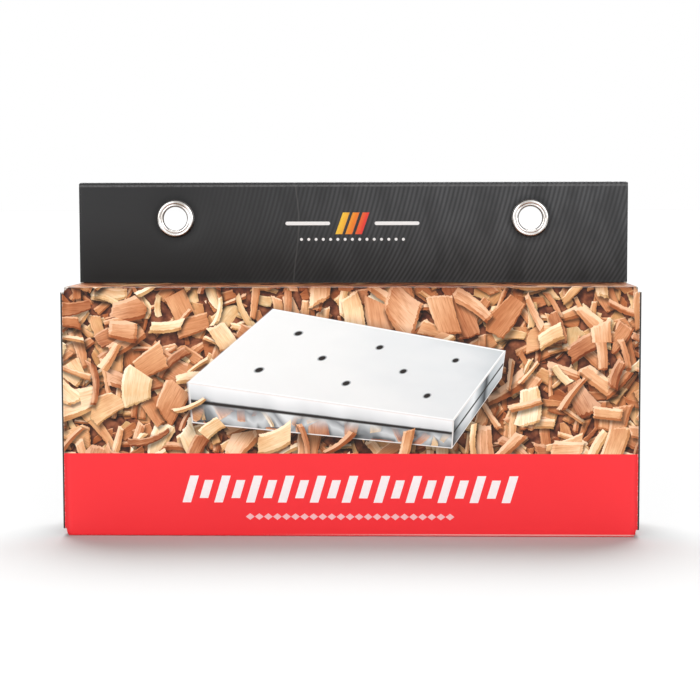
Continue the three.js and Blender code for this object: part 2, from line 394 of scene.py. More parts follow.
def end_closure(label, side, boards):
    section, run = bent_path([
        (HALF_X - CREASE_INSET, FRONT_Y, 0),
        (END_X, FRONT_Y, FOLD),
        (END_X, LIP_Y - LIP_ROOT, 0),
    ], FLAP_STEP)
    rows, prints = [], []
    for (x, y), length in zip(section, run):
        taper = CLOSURE_TAPER * ease(y - FRONT_Y, LIP_Y - FRONT_Y)
        foot, head = CLOSURE_FOOT + taper, CLOSURE_HEAD - taper
        across = side * (HALF_X - CREASE_INSET + length)
        rows.append(upright(side, (side * x, y, foot), (side * x, y, head)))
        prints.append(upright(side, (across, foot, 0), (across, head, 0)))

    def bend(points):
        """The closure sinks inwards between its folds."""
        _, y, z = points.T
        across, along = CLOSURE_EASE
        scale, seed = CLOSURE_SWELL
        flat = ease(y - FRONT_Y - FOLD, across) * ease(LIP_Y - y, across)
        high = ease(z - CLOSURE_FOOT, along) * ease(CLOSURE_HEAD - z, along)
        shift = np.zeros_like(points)
        shift[:, 0] = -side * CLOSURE_SINK * flat * high * swell(points, scale, seed + side)
        return shift

    columns = math.ceil((CLOSURE_HEAD - CLOSURE_FOOT) / FLAP_STEP)
    obj = sheet(f"{label}_closure_board", rows, prints, columns, bend)
    give_thickness(obj, boards)
    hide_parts(f"{label}_end_closure")
    x = side * END_X
    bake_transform(obj)


def tuck_lip(label, side, boards):
    lean = (math.cos(LIP_LEAN), math.sin(LIP_LEAN))
    corner = (END_X, LIP_Y + BOARD)
    tip = (corner[0] - lean[0] * (LIP_LENGTH + BOARD), corner[1] - lean[1] * (LIP_LENGTH + BOARD))
    section, run = bent_path([
        (END_X, LIP_Y - LIP_ROOT, 0),
        (*corner, FOLD),
        (*tip, 0),
    ], LIP_STEP)
    rows, prints = [], []
    for (x, y), length in zip(section, run):
        inset = min(1.0, length / LIP_NOTCH)
        foot = CLOSURE_FOOT + CLOSURE_TAPER + (LIP_FOOT - CLOSURE_FOOT - CLOSURE_TAPER) * inset
        head = CLOSURE_HEAD - CLOSURE_TAPER - (CLOSURE_HEAD - CLOSURE_TAPER - LIP_HEAD) * inset
        draw = rounded_end(run[-1] - length, LIP_CORNER)
        low, high = (side * x, y, foot + draw), (side * x, y, head - draw)
        rows.append(upright(side, low, high))
        across = side * (LIP_PRINT_X + length)
        prints.append(upright(side, (across, low[2], 0), (across, high[2], 0)))
    columns = math.ceil((LIP_HEAD - LIP_FOOT) / FLAP_STEP)
    obj = sheet(f"{label}_lip_board", rows, prints, columns)
    give_thickness(obj, boards)
    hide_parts(f"{label}_tuck_lip")
    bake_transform(obj)


def dust_flap(label, side, up, boards):
    """up is +1 for a flap that stands on the bottom panel and -1 for one that hangs from the top."""
    which = "bottom" if up > 0 else "top"
    lo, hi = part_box(f"{label}_{which}_dust_flap")
    outer = max(abs(lo.x), abs(hi.x))
    root = 0 if up > 0 else TOP_Z
    tip = hi.z if up > 0 else lo.z
    section, run = bent_path([
        (HALF_X - TOP_INSET, root, 0),
        (outer, root, FOLD),
        (outer, tip, 0),
    ], FLAP_STEP / 2)
    long = abs(tip - root)
    rows, prints = [], []
    for (x, z), length in zip(section, run):
        down = abs(z - root) / long
        draw = rounded_end(abs(tip - z), FLAP_CORNER)
        front = lo.y + down * long * FLAP_TAPER_SHARE + draw
        back = hi.y - down * FLAP_BACK_TAPER - draw
        ends = [(side * x, front, z), (side * x, back, z)]
        across = side * (HALF_X - TOP_INSET + length)
        print_ends = [(across, root - up * (y - FRONT_Y), 0) for y in (front, back)]
        if side * up > 0:
            ends.reverse()
            print_ends.reverse()
        rows.append(ends)
        prints.append(print_ends)
    columns = math.ceil((hi.y - lo.y) / FLAP_STEP)
    obj = sheet(f"{label}_{which}_flap_board", rows, prints, columns)
    give_thickness(obj, boards)
    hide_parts(f"{label}_{which}_dust_flap")
    x = side * HALF_X
    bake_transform(obj)


# Formulas made of shader nodes

# Half the width of a printed edge in millimetres, and a share too small to be seen
CRISP = 0.1
UNSEEN = 1e-7


def ink(code):
    """A colour as Blender wants it, from its usual six-digit code."""
    values = [int(code[i:i + 2], 16) / 255 for i in (0, 2, 4)]
    return tuple(v / 12.92 if v <= 0.04045 else ((v + 0.055) / 1.055) ** 2.4 for v in values) + (1.0,)


class Wire:
    """The output of a node, which formulas can be written with."""

    def __init__(self, socket):
        self.socket = socket
        self.tree = socket.id_data

    def output(self, name):
        """Another output of the same node."""
        return Wire(self.socket.node.outputs[name])

    def outputs(self):
        return [Wire(socket) for socket in self.socket.node.outputs]

    def math(self, operation, *others):
        return made(self.tree, "Math", (self, *others), operation=operation)

    def __rsub__(self, other):
        return made(self.tree, "Math", (other, self), operation="SUBTRACT")

    __add__ = __radd__ = partialmethod(math, "ADD")
    __sub__ = partialmethod(math, "SUBTRACT")
    __mul__ = partialmethod(math, "MULTIPLY")
    __truediv__ = partialmethod(math, "DIVIDE")
    __pow__ = partialmethod(math, "POWER")
    __abs__ = partialmethod(math, "ABSOLUTE")


def plug(socket, value):
    if isinstance(value, Wire):
        value.tree.links.new(value.socket, socket)
    else:
        socket.default_value = value


def made(tree, kind, inputs=(), output=0, **settings):
    """An output of a new node. inputs are values in the sockets' order, or by their names or numbers."""
    node = tree.nodes.new(f"ShaderNode{kind}")
    for name, value in settings.items():
        setattr(node, name, value)
    places = inputs.items() if isinstance(inputs, dict) else enumerate(inputs)
    for place, value in places:
        plug(node.inputs[place], value)
    return Wire(node.outputs[output])


def least(a, *rest):
    for b in rest:
        a = a.math("MINIMUM", b)
    return a


def most(a, *rest):
    for b in rest:
        a = a.math("MAXIMUM", b)
    return a


def hypotenuse(x, y):
    return (x ** 2.0 + y ** 2.0).math("SQRT")


def repeated(x, pitch):
    """Offset from the nearest of evenly spaced places."""
    return x - (x / pitch).math("ROUND") * pitch


def smooth(x, low, high, start=0.0, end=1.0):
    """Runs softly from start to end while x goes from low to high."""
    values = (x, high, low, end, start) if low > high else (x, low, high, start, end)
    return made(x.tree, "MapRange", values, interpolation_type="SMOOTHSTEP")


def inked(distance):
    """1 inside a printed outline, with a crisp edge."""
    return smooth(distance, CRISP, -CRISP)


def joined(x, y, z=0.0):
    return made(x.tree, "CombineXYZ", (x, y, z))


def parted(vector):
    return made(vector.tree, "SeparateXYZ", [vector]).outputs()


def color_parts(color):
    return made(color.tree, "SeparateColor", [color]).outputs()


def mixed(share, a, b, way="MIX", clamp=True):
    """Colour a where share is 0 and colour b where it is 1. Inputs 6 and 7 and output 2 are colours."""
    return made(share.tree, "Mix", {"Factor": share, 6: a, 7: b}, 2,
                data_type="RGBA", blend_type=way, clamp_factor=clamp)


def dimmed(color, factor):
    """A colour times a number, which may be over 1."""
    return mixed(factor, (0.0, 0.0, 0.0, 1.0), color, clamp=False)


def deepened(color, power):
    """A colour to a power: over 1 it turns darker and fuller, under 1 paler."""
    return made(color.tree, "Gamma", (color, power))


def after(value, color):
    """The same value, but worked out only once the colour is.

    A renderer holds a limited number of values for one material, and this keeps few of them open."""
    return value + color_parts(color)[0] * UNSEEN


def grain(vector, scale, detail=2.0, rough=0.5, flat=True):
    """Smooth random values, 0 to 1."""
    inputs = {"Vector": vector, "Scale": scale, "Detail": detail, "Roughness": rough}
    return made(vector.tree, "TexNoise", inputs, noise_dimensions="2D" if flat else "3D")


def ramp(value, *stops):
    """Colours along a value, each stop a place and a colour code."""
    color = made(value.tree, "ValToRGB", [value])
    elements = color.socket.node.color_ramp.elements
    while len(elements) < len(stops):
        elements.new(0.5)
    for element, (place, code) in zip(elements, stops):
        element.position = place
        element.color = ink(code)
    return color


def print_place(tree):
    """Where a point lies on the unrolled board: along, up, and 1 behind the header."""
    return made(tree, "Attribute", output="Vector", attribute_name="print_at")


def object_place(tree):
    """Where a point lies in its object, in metres."""
    return made(tree, "TexCoord", output="Object")


def bar_distance(x, y, half_x, half_y):
    """Distance outside a bar with round ends, below zero inside it."""
    across = abs(x) - (half_x - half_y)
    up = abs(y)
    outside = hypotenuse(most(across, 0.0), most(up, 0.0))
    return outside + least(most(across, up), 0.0) - half_y


def painted(name, roughness, metallic=0.0, specular=0.5):
    """A new material with its shader and its tree."""
    material = bpy.data.materials.new(name)
    material.use_nodes = True
    tree = material.node_tree
    shader = tree.nodes["Principled BSDF"]
    shader.inputs["Roughness"].default_value = roughness
    shader.inputs["Metallic"].default_value = metallic
    shader.inputs["Specular IOR Level"].default_value = specular
    return material, tree, shader


def bumped(shader, height, strength, distance):
    inputs = {"Strength": strength, "Distance": distance, "Height": height}
    plug(shader.inputs["Normal"], made(height.tree, "Bump", inputs))


# Printed wood chips

LIGHT_SIDE = (-0.42, 0.91)

# Form of a chip, in shares of its cell: each range is its least and what chance may add
CHIP_LENGTH = (0.30, 0.24)
CHIP_BREADTH = (0.16, 0.62)
CHIP_WALL = (0.03, 0.07)
CHIP_CURVE = 0.9
CHIP_SKEW = 1.3
CHIP_TAPER = 1.5
RAGGED_ENDS = 0.12
RAGGED_SIDES = 0.05
CHIP_EDGE = 0.006
WALL_EDGE = 0.012
SHADOW_REACH = 0.075

# How far a layer's pattern shifts upwards, as a multiple of its shift along
UP_SHIFT = 1.7


def chip_layer_group():
    """One scatter of wood chips: their colour, their cover and the shade that they cast below."""
    tree = bpy.data.node_groups.new("wood_chip_layer", "ShaderNodeTree")
    for name in ("along", "up", "cell", "shift", "tone", "slim"):
        tree.interface.new_socket(name, in_out="INPUT", socket_type="NodeSocketFloat")
    for name, kind in (("color", "Color"), ("cover", "Float"), ("shade", "Float"),
                       ("middle_along", "Float"), ("middle_up", "Float")):
        tree.interface.new_socket(name, in_out="OUTPUT", socket_type=f"NodeSocket{kind}")
    source = tree.nodes.new("NodeGroupInput")
    along, up, cell, shift, tone, slim = [Wire(socket) for socket in source.outputs[:6]]

    # The cell that a point lies in, and what chance gives its chip
    px = along / cell + shift
    py = up / cell + shift * UP_SHIFT
    here = joined(px, py)
    cells = made(tree, "TexVoronoi", {"Vector": here, "Scale": 1.0, "Randomness": 0.9},
                 voronoi_dimensions="2D")
    turn, long, wide = color_parts(cells.output("Color"))
    middle = cells.output("Position")
    middle_x, middle_y, _ = parted(middle)
    dice = made(tree, "TexWhiteNoise", {"Vector": middle}, noise_dimensions="2D")
    taper, hue, skew = color_parts(dice.output("Color"))
    luck = dice.output("Value")

    # The point and the light in the chip's own directions
    angle = turn * (2 * math.pi)
    cos, sin = angle.math("COSINE"), angle.math("SINE")
    x, y = px - middle_x, py - middle_y
    lengthwise = x * cos + y * sin
    across = y * cos - x * sin
    light_x = cos * LIGHT_SIDE[0] + sin * LIGHT_SIDE[1]
    light_y = cos * LIGHT_SIDE[1] - sin * LIGHT_SIDE[0]

    # Outline
    ragged = grain(here, 9.0, 3.0, 0.65) - 0.5
    length = CHIP_LENGTH[0] + long * CHIP_LENGTH[1]
    breadth = length * (CHIP_BREADTH[0] + wide * wide * CHIP_BREADTH[1]) * slim
    curve = (hue - 0.5) * CHIP_CURVE
    chip_x = lengthwise + across * (skew - 0.5) * CHIP_SKEW
    chip_y = (across + lengthwise * lengthwise * curve) / (1.0 + lengthwise * (taper - 0.5) * CHIP_TAPER)
    ends = abs(chip_x + ragged * RAGGED_ENDS) - length
    sides = abs(chip_y + ragged * RAGGED_SIDES) - breadth
    cover = smooth(most(ends, sides), CHIP_EDGE, -CHIP_EDGE)

    # Lit and unlit walls, fibres along the chip, and colour
    wall = CHIP_WALL[0] + luck * CHIP_WALL[1]
    side_wall = smooth(sides + wall, 0.0, WALL_EDGE) * chip_y.math("SIGN") * light_y
    end_wall = smooth(ends + wall * 0.8, 0.0, WALL_EDGE) * chip_x.math("SIGN") * light_x
    lit = 1.0 + side_wall * 0.60 + end_wall * 0.50
    fibres = grain(joined(lengthwise * 2.6 + turn * 40.0, across * 26.0), 1.0, 3.0, 0.6)
    streaks = grain(joined(lengthwise * 1.5 + luck * 90.0, across * 60.0), 1.0)
    stains = grain(joined(x + luck * 30.0, y + turn * 30.0), 2.4)
    slope = 1.0 + lengthwise / length * (skew - 0.5) * 0.5 + chip_y / breadth * (luck - 0.5) * 0.35
    shine = lit * slope * (0.80 + fibres * 0.42) * smooth(streaks, 0.60, 0.72, 1.0, 0.80)
    wood = ramp(hue * 0.75 + stains * 0.35 + fibres * 0.12 - 0.12,
                (0.0, "9c5636"), (0.26, "cf875a"), (0.52, "e6a474"), (0.76, "f8c994"), (1.0, "ffe8c0"))
    level = least(most(shine * tone * (0.80 + luck * 0.36), 0.30), 1.5)
    color = dimmed(deepened(wood, 1.0 + (1.0 - level) * 0.85), level ** 0.55)

    # Shade on what lies below, away from the light
    low_x = abs(chip_x + light_x * SHADOW_REACH) - length
    low_y = abs(chip_y + light_y * SHADOW_REACH) - breadth
    shade = smooth(most(low_x, low_y), -0.04, 0.09, 0.26, 1.0)

    sink = tree.nodes.new("NodeGroupOutput")
    results = (color, cover, shade, (middle_x - shift) * cell, (middle_y - shift * UP_SHIFT) * cell)
    for socket, value in zip(sink.inputs, results):
        plug(socket, value)
    return tree


def chip_layer(group, along, up, layer):
    return made(along.tree, "Group", (along, up, *layer), node_tree=group).outputs()


def strewn(group, along, up, color, layers):
    """Layers of chips over a colour, and the place along, worked out after them."""
    for layer in layers:
        along = after(along, color)
        chip, cover, shade, _, _ = chip_layer(group, along, up, layer)
        color = mixed(cover, dimmed(color, shade), chip)
    return color, along


# Cell size in millimetres, shift, tone and slimness of each layer, from the lowest up: chips all over
# the board, those that the steel mirrors, and those that lie before it
CHIP_LAYERS = [
    (9.5, 3.1, 0.74, 1.2),
    (12.0, 7.7, 0.82, 1.1),
    (11.0, 12.3, 0.92, 1.0),
    (16.5, 18.9, 1.02, 0.80),
    (14.0, 23.4, 1.08, 1.0),
    (22.0, 29.2, 1.14, 0.60),
    (18.0, 35.6, 1.20, 1.0),
]
MIRRORED_LAYERS = [
    (11.0, 51.7, 0.80, 1.0),
    (13.0, 62.2, 0.98, 1.0),
]
NEAR_LAYER = (17.0, 41.3, 1.08, 0.95)


def wood_chips(group, along, up):
    """Chips all over the board, with painted shade that makes them darker and browner on the top panel."""
    gaps = grain(joined(along, up), 0.25, 3.0)
    color = ramp(gaps, (0.30, "4a241c"), (0.50, "743f2a"), (0.68, "9a5b3e"))
    color, along = strewn(group, along, up, color, CHIP_LAYERS)
    # Painted shade: the chips are multiplied darker and browner towards and over the top panel
    above = smooth(up, PRINT_TOP - 6.0, PRINT_TOP + 1.0)
    return mixed(above * 0.85, color, ink("b08a6c"), "MULTIPLY")


# Printed picture: a closed steel box with a vented lid, seen from a corner. Its corners, and the drawn
# length and height of its faces, are in millimetres of the print.

LID_NEAR_LEFT = (-66.0, 63.0)
LID_NEAR_RIGHT = (42.0, 47.5)
LID_FAR_RIGHT = (63.0, 76.0)
LID_FAR_LEFT = (-31.0, 93.0)
FOOT_NEAR_LEFT = (-64.3, 46.5)
FOOT_NEAR_RIGHT = (41.4, 36.2)
FOOT_FAR_RIGHT = (61.4, 65.0)
LID_DRAWN = (111.0, 46.0)
WALL_DRAWN = (110.0, 14.0)
END_DRAWN = (35.0, 12.0)
FLANGE_SHARE = 0.60
SEAM_SHARE = FLANGE_SHARE - 0.05
CAST_SHADOW = (1.5, -2.2)

# The pictured box, in real millimetres
BOX_LENGTH = 226.0
BOX_WIDTH = 94.0
VENT_RADIUS = 2.7
VENT_PITCH = 74.0
VENT_PAIR = 23.5


def on_quad(along, up, corners):
    """Place (0 to 1 each way) on a flat four-sided face that is drawn in perspective."""
    rows, answers = [], []
    for (a, b), (x, y) in zip(((0, 0), (1, 0), (1, 1), (0, 1)), corners):
        rows.append([x, y, 1, 0, 0, 0, -a * x, -a * y])
        rows.append([0, 0, 0, x, y, 1, -b * x, -b * y])
        answers += [a, b]
    k = [float(value) for value in np.linalg.solve(np.array(rows, float), np.array(answers, float))]
    below = along * k[6] + up * k[7] + 1.0
    return (along * k[0] + up * k[1] + k[2]) / below, (along * k[3] + up * k[4] + k[5]) / below


def polygon_distance(along, up, corners):
    """Distance outside a convex outline whose corners run anticlockwise, below zero inside."""
    sides = []
    for (x0, y0), (x1, y1) in zip(corners, corners[1:]):
        length = math.hypot(x1 - x0, y1 - y0)
        out_x, out_y = (y1 - y0) / length, (x0 - x1) / length
        sides.append(along * out_x + up * out_y - (x0 * out_x + y0 * out_y))
    return most(*sides)


def within(a, b, soft=0.004):
    return smooth(most(abs(a - 0.5), abs(b - 0.5)), 0.5 + soft, 0.5 - soft)


def edge_line(a, b, drawn, width):
    """A light line along the border of a face, which is drawn so long and so tall."""
    long, tall = drawn
    near = least(least(a, 1.0 - a) * long, least(b, 1.0 - b) * tall)
    return smooth(near, width, width * 0.5)


def with_seam(a, b, drawn, color, seam, border):
    """The colour of a wall with a dark seam under its flange and a light line round it."""
    color = mixed(smooth(abs(b - SEAM_SHARE), 0.07, 0.02), color, ink(seam))
    return mixed(edge_line(a, b, drawn, 0.55), color, ink(border))


def vent_distance(a, b):
    """Distance in real millimetres outside the vents of the lid: pairs, with single ones between."""
    x = (a - 0.5) * BOX_LENGTH
    y = (b - 0.5) * BOX_WIDTH
    pairs = hypotenuse(repeated(x, VENT_PITCH), abs(y) - VENT_PAIR)
    single = hypotenuse(abs(x) - VENT_PITCH / 2, y)
    return least(pairs, single) - VENT_RADIUS


def steel_picture(group, along, up, chips):
    """The closed box over the chips, with its shadow."""
    along = after(along, chips)
    outline = [LID_FAR_LEFT, LID_NEAR_LEFT, FOOT_NEAR_LEFT, FOOT_NEAR_RIGHT, FOOT_FAR_RIGHT,
               LID_FAR_RIGHT, LID_FAR_LEFT]
    under = polygon_distance(along - CAST_SHADOW[0], up - CAST_SHADOW[1], outline)
    color = dimmed(chips, smooth(under, -1.0, 6.0, 0.30, 1.0))

    # Lid
    soft = grain(joined(along * 0.4, up), 0.09)
    a, b = on_quad(along, up, [LID_NEAR_LEFT, LID_NEAR_RIGHT, LID_FAR_RIGHT, LID_FAR_LEFT])
    lid = ramp(a * 0.55 + b * 0.25 + soft * 0.25,
               (0.0, "f8f8f7"), (0.45, "f2f2f1"), (0.72, "e6e8e9"), (0.95, "c6cbce"))
    hole = vent_distance(a, b)
    lid = mixed(smooth(hole, 1.3, 0.5), lid, ink("b9bcbe"))
    lid = mixed(smooth(hole, 0.35, -0.35), lid, ink("2a2523"))
    lid = mixed(edge_line(a, b, LID_DRAWN, 1.1), lid, ink("ffffff"))
    color = mixed(within(a, b), color, lid)

    # Near wall, which mirrors the chips before it
    along = after(along, color)
    a, b = on_quad(along, up, [FOOT_NEAR_LEFT, FOOT_NEAR_RIGHT, LID_NEAR_RIGHT, LID_NEAR_LEFT])
    broad = grain(joined(along + b * 4.0, b * 1.2), 0.06, 2.0, 0.45)
    steel = ramp(broad * 0.9 + b * 0.35, (0.30, "4a4b4d"), (0.44, "8d9092"), (0.54, "d6d8d9"),
                 (0.62, "8f9295"), (0.72, "eceded"))
    flange = ramp(broad * 0.35 + b * 0.7, (0.45, "a5a7a8"), (0.66, "e2e3e4"), (0.86, "fafafa"))
    fall = (FOOT_NEAR_RIGHT[1] - FOOT_NEAR_LEFT[1]) / (FOOT_NEAR_RIGHT[0] - FOOT_NEAR_LEFT[0])
    mirrored = ((along - FOOT_NEAR_LEFT[0]) * fall + FOOT_NEAR_LEFT[1]) * 2.0 - up
    seen, along = strewn(group, along, mirrored, steel, MIRRORED_LAYERS)
    near = smooth(b, FLANGE_SHARE - 0.02, 0.10)
    wall = mixed(near * 0.85, steel, seen)
    side = mixed(smooth(b, FLANGE_SHARE - 0.02, FLANGE_SHARE + 0.02), wall, flange)
    side = with_seam(a, b, WALL_DRAWN, side, "2c2826", "f5efec")
    color = mixed(within(a, b), color, side)

    # End
    along = after(along, color)
    a, b = on_quad(along, up, [FOOT_NEAR_RIGHT, FOOT_FAR_RIGHT, LID_FAR_RIGHT, LID_NEAR_RIGHT])
    bands = ramp(a + (soft - 0.5) * 0.25, (0.0, "5d5f61"), (0.12, "c3c7ca"), (0.34, "eef0f1"),
                 (0.48, "9fa5a9"), (0.60, "45484a"), (0.68, "b4babd"), (1.0, "dfe2e4"))
    bands = dimmed(bands, smooth(b, 0.0, 0.5, 0.72, 1.0))
    bands = with_seam(a, b, END_DRAWN, bands, "34302e", "f5f1ee")
    color = mixed(within(a, b), color, bands)

    # Chips that lie on its foot
    along = after(along, color)
    chip, cover, shade, middle_along, middle_up = chip_layer(group, along, up, NEAR_LAYER)
    foot = polygon_distance(middle_along, middle_up,
                            [LID_NEAR_LEFT, FOOT_NEAR_LEFT, FOOT_NEAR_RIGHT, FOOT_FAR_RIGHT])
    lies_on = smooth(foot, -2.6, -2.4)
    color = dimmed(color, 1.0 - (1.0 - shade) * lies_on)
    return mixed(cover * lies_on, color, chip)


# Plain ornaments where a pack carries its words, in millimetres of the print

# Slanted bars on the band
TITLE_UP = 19.4
TITLE_HALF = 68.25
TITLE_PITCH = 6.5
TITLE_LEAN = 0.30
TITLE_BAR = 1.75
TITLE_TALL = 4.6
TITLE_STEP = 0.9

# Diamonds on the band
MARKS_UP = 8.1
MARKS_HALF = 42.5
MARK_PITCH = 3.7
MARK_SLOPE = 0.75
MARK_TALL = 1.35

# Rules and dots on the header card
EMBLEM_UP = 127.0
RULE_MIDDLE = 19.0
RULE_HALF = (9.5, 0.75)
DOTS_UP = 120.2
DOTS_HALF = 22.5
DOT_PITCH = 3.1
DOT_RADIUS = 0.62

# Warm bars between the rules
WARM_HALF = (1.45, 4.6)
WARM_PITCH = 4.2
WARM_LEAN = 0.35
WARM_REACH = 6.2
WARM_RUN = 13.0


def title_bars(along, up):
    """Slanted bars, tall and short in turn."""
    lift = up - TITLE_UP
    place = along - lift * TITLE_LEAN
    count = (place / TITLE_PITCH).math("ROUND")
    offset = place - count * TITLE_PITCH
    tall = (count * math.pi).math("COSINE") * TITLE_STEP + TITLE_TALL
    bar = most(abs(offset) - TITLE_BAR, abs(lift) - tall)
    return inked(bar) * inked(abs(place) - TITLE_HALF)


def subtitle_marks(along, up):
    """A row of diamonds."""
    mark = abs(repeated(along, MARK_PITCH)) * MARK_SLOPE + abs(up - MARKS_UP) - MARK_TALL
    return inked(mark) * inked(abs(along) - MARKS_HALF)


def rules_and_dots(along, up):
    """Two rules, and a row of dots below them."""
    rule = bar_distance(abs(along) - RULE_MIDDLE, up - EMBLEM_UP, *RULE_HALF)
    dot = hypotenuse(repeated(along, DOT_PITCH), up - DOTS_UP) - DOT_RADIUS
    return inked(least(rule, most(dot, abs(along) - DOTS_HALF)))


def warm_bars(along, up):
    """Three slanted bars and their colour."""
    lift = up - EMBLEM_UP
    slant = along - lift * WARM_LEAN
    bars = most(abs(repeated(slant, WARM_PITCH)) - WARM_HALF[0], abs(lift) - WARM_HALF[1],
                abs(slant) - WARM_REACH)
    warm = ramp(slant / WARM_RUN + 0.5, (0.1, "f9c846"), (0.5, "f18a32"), (0.9, "e8453c"))
    return inked(bars), warm


# Materials of the board

def board_coat(shader, along, up, strength=0.02):
    """Paper tooth and a coat that is not quite even."""
    tooth = grain(joined(along, up), 3.0, 3.0, 0.6)
    bumped(shader, tooth, strength, 0.2 * MM)


def fold_wear_and_painted_light(along, up, color):
    """Ink rubbed off the folds and the corner, a patchy painted highlight along the bottom fold, and painted
    shade where the top fold bends away.
    """
    rub = grain(joined(along, up), 1.3, 4.0, 0.7)
    # Painted shade over the rounding of the top fold
    painted_fold_shade = smooth(abs(up - PRINT_TOP - 0.4), 1.1, 0.5)
    color = dimmed(color, 1.0 - painted_fold_shade * 0.42)
    fold = least(abs(up - 0.2) + 0.10, abs(abs(along) - PRINT_HALF + 0.1) + 0.06)
    worn = smooth(fold - rub * 0.30, 0.06, -0.12) * 0.45
    # Painted highlight: a patchy pale line along the bottom fold, mixed in with the rubbed ink below
    foot = smooth(abs(up - 0.75), 0.42, 0.12) * smooth(along + rub * 60.0, -20.0, 90.0) * 0.55
    corner = along + PRINT_HALF + (PRINT_TOP - up)
    scuff = smooth(corner + rub * 1.6, 3.7, 2.9) * smooth(up, PRINT_TOP + 0.9, PRINT_TOP + 0.5)
    scuff = scuff * smooth(along, -PRINT_HALF - 0.4, -PRINT_HALF - 0.1)
    return mixed(most(worn * smooth(rub, 0.46, 0.64), foot, scuff), color, ink("efe6dc"))


STRIPE_PITCH = 1.94
STRIPE_LEAN = 0.35
STRIPE_BEND = 37.0


def pinstripes(along, up, color, stripe):
    """Fine slanted stripes that stand steeper towards the header's top and fade to plain on the left."""
    high = most(up - PRINT_TOP, 0.0)
    low = least(up - PRINT_TOP, 0.0)
    lean = (high * (-1 / STRIPE_BEND)).math("EXPONENT") * (STRIPE_LEAN * STRIPE_BEND) - low * STRIPE_LEAN
    uneven = grain(joined(along, up * 0.35), 0.12)
    wave = ((along / STRIPE_PITCH + lean) * (2 * math.pi)).math("SINE") * 0.30 + 0.5
    strength = smooth(along, -88.0, 52.0) * smooth(uneven, 0.25, 0.65, 0.45, 1.0)
    return mixed(wave * strength, color, stripe)


def print_material(group):
    """Chips and picture, the red band, and charcoal on the back and the ends."""
    material, tree, shader = painted("printed_board", 0.38, specular=0.2)
    along, up, _ = parted(print_place(tree))
    chips = wood_chips(group, along, up)
    color = steel_picture(group, along, up, chips)
    later = after(along, color)
    red = mixed(grain(joined(later, up), 0.02), ink("fb333a"), ink("ff373e"))
    red = mixed(title_bars(later, up), red, ink("fff6f6"))
    red = mixed(subtitle_marks(later, up), red, ink("ffc4c6"))
    color = mixed(smooth(up, BAND_TOP - 0.12, BAND_TOP + 0.12), red, color)
    charcoal = pinstripes(later, up, ink("2c2c2b"), ink("454544"))
    behind = smooth(up, -PRINT_DEPTH + 0.6, -PRINT_DEPTH + 0.2)
    beyond = smooth(abs(later), PRINT_HALF - 0.08, PRINT_HALF + 0.08)
    color = mixed(most(behind, beyond), color, charcoal)
    color = fold_wear_and_painted_light(later, up, color)
    plug(shader.inputs["Base Color"], color)
    board_coat(shader, along, up)
    return material


def header_material():
    """Charcoal with pinstripes and ornaments on its front, with painted shade at its foot and round the
    eyelets, and a painted highlight below its top fold.
    """
    material, tree, shader = painted("charcoal_board", 0.36, specular=0.2)
    along, up, back = parted(print_place(tree))
    # Painted shade: board and stripes turn darker towards the card's foot
    shade = smooth(up, PRINT_TOP, PRINT_TOP + 30.0)
    base = mixed(shade, ink("181717"), ink("2c2c2d"))
    stripe = mixed(shade, ink("454546"), ink("57585a"))
    # Painted shadow: a dark line along the foot, where the card meets the top panel
    base = mixed(smooth(up, PRINT_TOP + 1.2, PRINT_TOP + 0.4), base, ink("12100f"))
    color = pinstripes(along, up, base, stripe)
    rub = grain(joined(along, up), 0.9, 3.0, 0.6)
    # Painted highlight: a patchy pale line just below the top fold
    worn = smooth(abs(up - HEADER_Z / MM + 1.5), 0.65, 0.15) * smooth(rub, 0.25, 0.65, 0.3, 0.85)
    color = mixed(worn, color, ink("656565"))
    # Painted shade round each eyelet, darkest next to its flange
    ring = hypotenuse(abs(along) - EYELET_X / MM, up - EYELET_Z / MM) - FLANGE_R / MM
    color = dimmed(color, smooth(ring, 0.2, 3.4, 0.62, 1.0))
    spine = abs(along - SPINE_X / MM - (up / (SPINE_TURN / MM)).math("SINE") * (SPINE_SWAY / MM))
    color = mixed(smooth(spine, 0.5, 0.1) * 0.16, color, ink("7a7977"))
    front = smooth(back, 0.9, 0.1)
    color = mixed(rules_and_dots(along, up) * front, color, ink("f4f3f2"))
    bars, warm = warm_bars(along, up)
    color = mixed(bars * front, color, warm)
    plug(shader.inputs["Base Color"], color)
    board_coat(shader, along, up, 0.03)
    return material


def plain_board(name, code, other, scale):
    """Uncoated board, mottled between two colours."""
    material, tree, shader = painted(name, 0.85, specular=0.3)
    fibre = grain(object_place(tree), scale, 5.0, 0.7, flat=False)
    color = mixed(smooth(fibre, 0.35, 0.7), ink(code), ink(other))
    plug(shader.inputs["Base Color"], color)
    bumped(shader, fibre, 0.25, 0.1 * MM)
    return material


def rolled_sheet():
    """Bright stainless sheet: fine lines along the rolling direction, soft clouds and finger marks."""
    material, tree, shader = painted("stainless", 0.2, metallic=1.0)
    place = object_place(tree)
    x, y, z = parted(place)
    lines = grain(joined(x * 25.0, y * 2600.0, z * 2600.0), 1.0, 3.0, 0.6, flat=False)
    clouds = grain(place, 22.0, flat=False)
    marks = grain(place, 75.0, 4.0, 0.6, flat=False)
    color = mixed(clouds, ink("d9dbdc"), ink("c3c6c8"))
    color = mixed(smooth(lines, 0.45, 0.75) * 0.35, color, ink("a7abae"))
    plug(shader.inputs["Base Color"], color)
    rough = smooth(lines, 0.3, 0.7, 0.14, 0.22) + smooth(marks, 0.52, 0.70, 0.0, 0.09)
    plug(shader.inputs["Roughness"], rough)
    bumped(shader, lines, 0.04, 0.01 * MM)
    return material


# How far the print runs on past a fold, in millimetres
BLEED = 3.2


